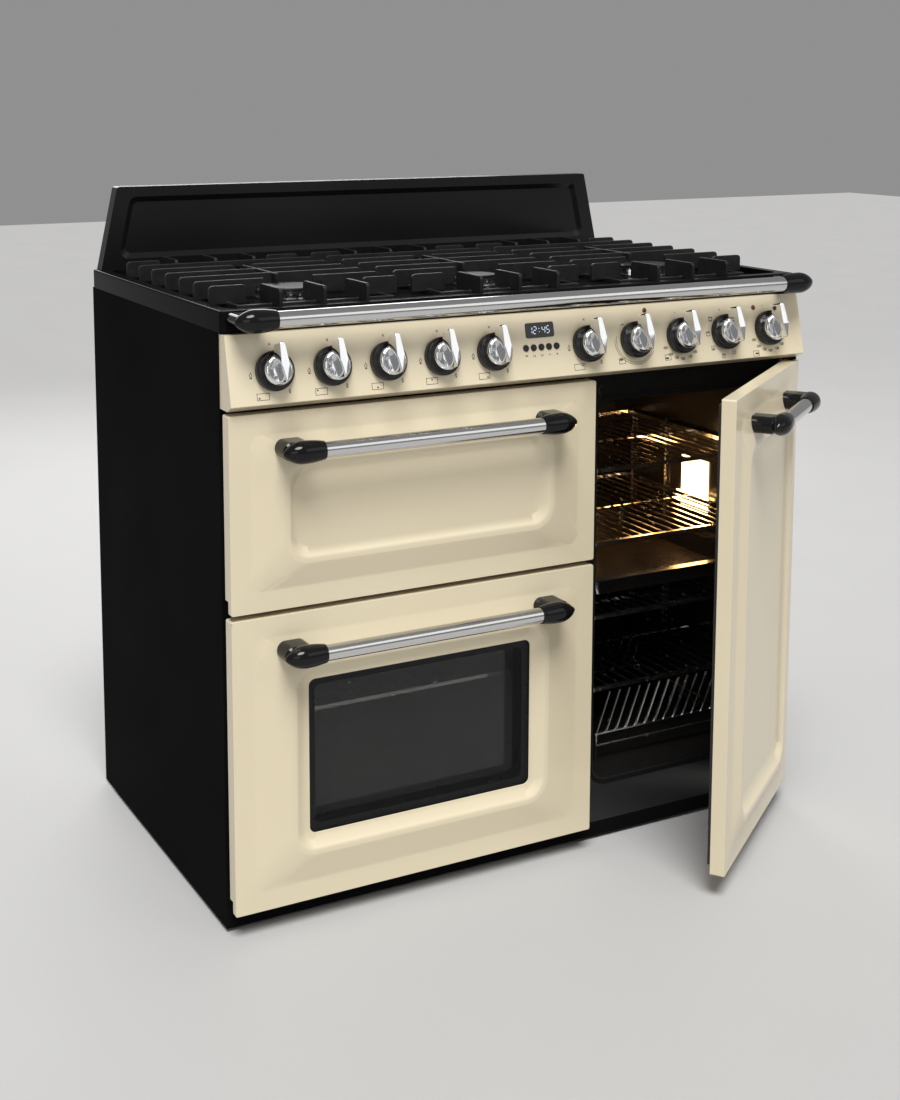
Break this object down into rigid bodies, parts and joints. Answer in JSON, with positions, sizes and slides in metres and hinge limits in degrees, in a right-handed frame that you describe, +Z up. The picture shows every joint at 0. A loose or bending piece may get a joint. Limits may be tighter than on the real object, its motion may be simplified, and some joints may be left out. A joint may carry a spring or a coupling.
{
  "type": "range cooker",
  "caption": "Free-standing range cooker: gas hob with cast pan supports, splashback, front towel rail, drop-down grill and main oven doors, and a tall side-hinged oven.",
  "frame": {"origin": "on the floor, under the middle of the cabinet's width, at hob mid-depth", "axes": "+X to the user's right, +Y to the wall behind, +Z up"},
  "size_m": [1.003, 0.8584, 1.037],
  "materials": {
    "cream_enamel": "gloss vitreous enamel",
    "black_enamel": "gloss vitreous enamel",
    "oven_enamel": "easy-clean oven enamel",
    "galvanised_steel": "galvanised sheet",
    "bar_steel": "fine brushed along the bar",
    "black_horn": "gloss black",
    "chrome_wire": "bright wire",
    "knob_chrome": "polished",
    "black_plastic": "satin",
    "dark_glass": "black display glass",
    "door_glass": "tinted oven glass",
    "lamp_glass": "ribbed clear glass",
    "seal_rubber": "soft",
    "tap_brass": "as cast and turned",
    "burner_aluminium": "machined",
    "support_iron": "matt enamelled"
  },
  "bodies": {
    "cabinet": {"side_panels": "black_enamel", "back_panel": "galvanised_steel", "base_tray": "galvanised_steel", "feet": "black_plastic", "plinth": "black_enamel", "front_frame": "black_enamel", "hob_tray": "black_enamel", "backsplash": "black_enamel", "control_panel": "cream_enamel", "knob_bezels": "black_plastic", "clock_display": "dark_glass", "towel_rail": "bar_steel", "towel_rail_ends": "black_horn", "grill_cavity": "oven_enamel", "main_cavity": "oven_enamel", "tall_cavity": "oven_enamel", "door_seals": "seal_rubber", "heating_elements": "galvanised_steel", "shelf_guides": "chrome_wire", "oven_shelves": "chrome_wire", "roasting_tray": "oven_enamel", "plate_rack": "chrome_wire", "oven_lamp": "lamp_glass", "fan_covers": "oven_enamel", "fan_motors": "galvanised_steel", "gas_manifold": "galvanised_steel", "taps_and_switches": "tap_brass", "burner_heads": "burner_aluminium", "burner_caps": "black_enamel", "hinge_brackets": "black_enamel"},
    "main_oven_fan": {"main_oven_fan": "galvanised_steel"},
    "tall_oven_fan": {"tall_oven_fan": "galvanised_steel"},
    "grill_door": {"grill_door_skin": "cream_enamel", "grill_door_liner": "oven_enamel", "grill_door_handle": "bar_steel"},
    "main_door": {"main_door_skin": "cream_enamel", "main_door_liner": "oven_enamel", "main_door_handle": "bar_steel", "main_door_glass": "door_glass"},
    "tall_door": {"tall_door_skin": "cream_enamel", "tall_door_liner": "oven_enamel", "tall_door_handle": "bar_steel"},
    "knob_1": {"knob_1": "knob_chrome"},
    "knob_2": {"knob_2": "knob_chrome"},
    "knob_3": {"knob_3": "knob_chrome"},
    "knob_4": {"knob_4": "knob_chrome"},
    "knob_5": {"knob_5": "knob_chrome"},
    "knob_6": {"knob_6": "knob_chrome"},
    "knob_7": {"knob_7": "knob_chrome"},
    "knob_8": {"knob_8": "knob_chrome"},
    "knob_9": {"knob_9": "knob_chrome"},
    "knob_10": {"knob_10": "knob_chrome"},
    "clock_button_1": {"clock_button_1": "black_plastic"},
    "clock_button_2": {"clock_button_2": "black_plastic"},
    "clock_button_3": {"clock_button_3": "black_plastic"},
    "clock_button_4": {"clock_button_4": "black_plastic"},
    "clock_button_5": {"clock_button_5": "black_plastic"},
    "pan_support_left": {"pan_support_left": "support_iron"},
    "pan_support_centre": {"pan_support_centre": "support_iron"},
    "pan_support_right": {"pan_support_right": "support_iron"}
  },
  "joints": [
    {"name": "grill_door_hinge", "type": "hinge", "parent": "cabinet", "child": "grill_door", "pos_m": [-0.199, -0.298, 0.489], "axis": [1, 0, 0], "range_deg": [0, 90], "stiffness_Nm_per_rad": 3, "springref_deg": -45.84},
    {"name": "main_door_hinge", "type": "hinge", "parent": "cabinet", "child": "main_door", "pos_m": [-0.199, -0.298, 0.049], "axis": [1, 0, 0], "range_deg": [0, 84], "stiffness_Nm_per_rad": 5, "springref_deg": -40.11},
    {"name": "tall_door_hinge", "type": "hinge", "parent": "cabinet", "child": "tall_door", "pos_m": [0.49, -0.298, 0.3975], "axis": [0, 0, 1], "range_deg": [-36.5, 58.5]},
    {"name": "knob_1_turn", "type": "hinge", "parent": "cabinet", "child": "knob_1", "pos_m": [-0.431, -0.30992, 0.816], "axis": [0, -0.9747, 0.2234], "range_deg": [0, 210]},
    {"name": "knob_2_turn", "type": "hinge", "parent": "cabinet", "child": "knob_2", "pos_m": [-0.344, -0.30992, 0.816], "axis": [0, -0.9747, 0.2234], "range_deg": [0, 210]},
    {"name": "knob_3_turn", "type": "hinge", "parent": "cabinet", "child": "knob_3", "pos_m": [-0.257, -0.30992, 0.816], "axis": [0, -0.9747, 0.2234], "range_deg": [0, 210]},
    {"name": "knob_4_turn", "type": "hinge", "parent": "cabinet", "child": "knob_4", "pos_m": [-0.17, -0.30992, 0.816], "axis": [0, -0.9747, 0.2234], "range_deg": [0, 210]},
    {"name": "knob_5_turn", "type": "hinge", "parent": "cabinet", "child": "knob_5", "pos_m": [-0.083, -0.30992, 0.816], "axis": [0, -0.9747, 0.2234], "range_deg": [0, 210]},
    {"name": "knob_6_turn", "type": "hinge", "parent": "cabinet", "child": "knob_6", "pos_m": [0.083, -0.30992, 0.816], "axis": [0, -0.9747, 0.2234], "range_deg": [0, 210]},
    {"name": "knob_7_turn", "type": "hinge", "parent": "cabinet", "child": "knob_7", "pos_m": [0.17, -0.30992, 0.816], "axis": [0, -0.9747, 0.2234], "range_deg": [-240, 0]},
    {"name": "knob_8_turn", "type": "hinge", "parent": "cabinet", "child": "knob_8", "pos_m": [0.257, -0.30992, 0.816], "axis": [0, -0.9747, 0.2234], "range_deg": [-240, 0]},
    {"name": "knob_9_turn", "type": "hinge", "parent": "cabinet", "child": "knob_9", "pos_m": [0.344, -0.30992, 0.816], "axis": [0, -0.9747, 0.2234], "range_deg": [-330, 0]},
    {"name": "knob_10_turn", "type": "hinge", "parent": "cabinet", "child": "knob_10", "pos_m": [0.431, -0.30992, 0.816], "axis": [0, -0.9747, 0.2234], "range_deg": [-240, 0]},
    {"name": "clock_button_1_press", "type": "slide", "parent": "cabinet", "child": "clock_button_1", "axis": [0, 0.9747, -0.2234], "range_m": [0, 0.0015], "stiffness_N_per_m": 400},
    {"name": "clock_button_2_press", "type": "slide", "parent": "cabinet", "child": "clock_button_2", "axis": [0, 0.9747, -0.2234], "range_m": [0, 0.0015], "stiffness_N_per_m": 400},
    {"name": "clock_button_3_press", "type": "slide", "parent": "cabinet", "child": "clock_button_3", "axis": [0, 0.9747, -0.2234], "range_m": [0, 0.0015], "stiffness_N_per_m": 400},
    {"name": "clock_button_4_press", "type": "slide", "parent": "cabinet", "child": "clock_button_4", "axis": [0, 0.9747, -0.2234], "range_m": [0, 0.0015], "stiffness_N_per_m": 400},
    {"name": "clock_button_5_press", "type": "slide", "parent": "cabinet", "child": "clock_button_5", "axis": [0, 0.9747, -0.2234], "range_m": [0, 0.0015], "stiffness_N_per_m": 400},
    {"name": "pan_support_left_lift", "type": "slide", "parent": "cabinet", "child": "pan_support_left", "axis": [0, 0, 1], "range_m": [0, 0.06]},
    {"name": "pan_support_centre_lift", "type": "slide", "parent": "cabinet", "child": "pan_support_centre", "axis": [0, 0, 1], "range_m": [0, 0.06]},
    {"name": "pan_support_right_lift", "type": "slide", "parent": "cabinet", "child": "pan_support_right", "axis": [0, 0, 1], "range_m": [0, 0.06]},
    {"name": "main_oven_fan_spin", "type": "hinge", "parent": "cabinet", "child": "main_oven_fan", "pos_m": [-0.199, 0.159, 0.258], "axis": [0, 1, 0], "continuous": true},
    {"name": "tall_oven_fan_spin", "type": "hinge", "parent": "cabinet", "child": "tall_oven_fan", "pos_m": [0.301, 0.159, 0.4085], "axis": [0, 1, 0], "continuous": true}
  ]
}
